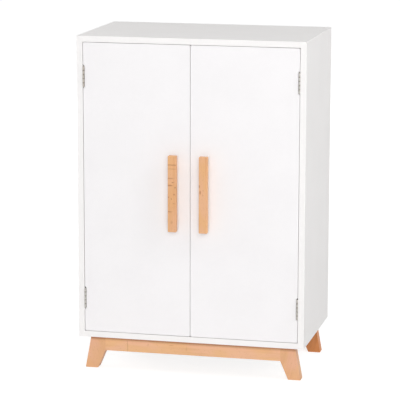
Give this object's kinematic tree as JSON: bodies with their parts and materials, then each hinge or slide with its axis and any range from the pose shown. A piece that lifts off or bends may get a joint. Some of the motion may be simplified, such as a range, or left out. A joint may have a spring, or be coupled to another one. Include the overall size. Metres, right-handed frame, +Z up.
{
  "type": "storage cabinet",
  "caption": "Small white two-door storage cabinet on raked beech leg frames, with wooden bar handles, butt-hinged flush doors, shelves on pins and a magnetic catch.",
  "frame": {"origin": "on the floor, at the middle of the object's bounding box seen from above", "axes": "+Z up, -Y out of the front where the doors and handles are, +X to the right of someone facing the doors"},
  "size_m": [0.34, 0.222, 0.5],
  "materials": {
    "painted_board": "smooth satin white paint on fibreboard, edges slightly eased",
    "back_board": "white faced hardboard",
    "beech": "clear satin lacquer on solid beech, fine flecks and straight grain",
    "dowel_birch": "raw turned birch",
    "hinge_steel": "satin nickel plated steel, slightly warm",
    "zinc_steel": "bright zinc plated steel",
    "catch_plastic": "moulded white plastic"
  },
  "bodies": {
    "cabinet": {"top_panel": "painted_board", "bottom_panel": "painted_board", "left_side_panel": "painted_board", "right_side_panel": "painted_board", "lower_shelf": "painted_board", "upper_shelf": "painted_board", "back_panel": "back_board", "front_rail": "beech", "front_left_leg": "beech", "front_right_leg": "beech", "rear_rail": "beech", "rear_left_leg": "beech", "rear_right_leg": "beech", "left_lower_hinge_frame_leaf": "hinge_steel", "left_lower_hinge_pin": "hinge_steel", "left_lower_front_shelf_pin": "zinc_steel", "left_lower_rear_shelf_pin": "zinc_steel", "left_upper_hinge_frame_leaf": "hinge_steel", "left_upper_hinge_pin": "hinge_steel", "left_upper_front_shelf_pin": "zinc_steel", "left_upper_rear_shelf_pin": "zinc_steel", "left_bottom_front_dowel": "dowel_birch", "left_bottom_rear_dowel": "dowel_birch", "left_top_front_dowel": "dowel_birch", "left_top_rear_dowel": "dowel_birch", "left_front_base_screw": "zinc_steel", "left_rear_base_screw": "zinc_steel", "right_lower_hinge_frame_leaf": "hinge_steel", "right_lower_hinge_pin": "hinge_steel", "right_lower_front_shelf_pin": "zinc_steel", "right_lower_rear_shelf_pin": "zinc_steel", "right_upper_hinge_frame_leaf": "hinge_steel", "right_upper_hinge_pin": "hinge_steel", "right_upper_front_shelf_pin": "zinc_steel", "right_upper_rear_shelf_pin": "zinc_steel", "right_bottom_front_dowel": "dowel_birch", "right_bottom_rear_dowel": "dowel_birch", "right_top_front_dowel": "dowel_birch", "right_top_rear_dowel": "dowel_birch", "right_front_base_screw": "zinc_steel", "right_rear_base_screw": "zinc_steel", "catch_housing": "catch_plastic"},
    "left_door": {"left_door": "painted_board", "left_handle": "beech", "left_strike_plate": "hinge_steel", "left_lower_handle_spacer": "beech", "left_lower_handle_screw": "zinc_steel", "left_lower_hinge_door_leaf": "hinge_steel", "left_upper_handle_spacer": "beech", "left_upper_handle_screw": "zinc_steel", "left_upper_hinge_door_leaf": "hinge_steel"},
    "right_door": {"right_door": "painted_board", "right_handle": "beech", "right_strike_plate": "hinge_steel", "right_lower_handle_spacer": "beech", "right_lower_handle_screw": "zinc_steel", "right_lower_hinge_door_leaf": "hinge_steel", "right_upper_handle_spacer": "beech", "right_upper_handle_screw": "zinc_steel", "right_upper_hinge_door_leaf": "hinge_steel"}
  },
  "joints": [
    {"name": "left_door_hinge", "type": "hinge", "parent": "cabinet", "child": "left_door", "pos_m": [-0.15975, -0.0936, 0.275], "axis": [0, 0, -1], "range_deg": [0, 180]},
    {"name": "right_door_hinge", "type": "hinge", "parent": "cabinet", "child": "right_door", "pos_m": [0.15975, -0.0936, 0.275], "axis": [0, 0, 1], "range_deg": [0, 180]}
  ]
}
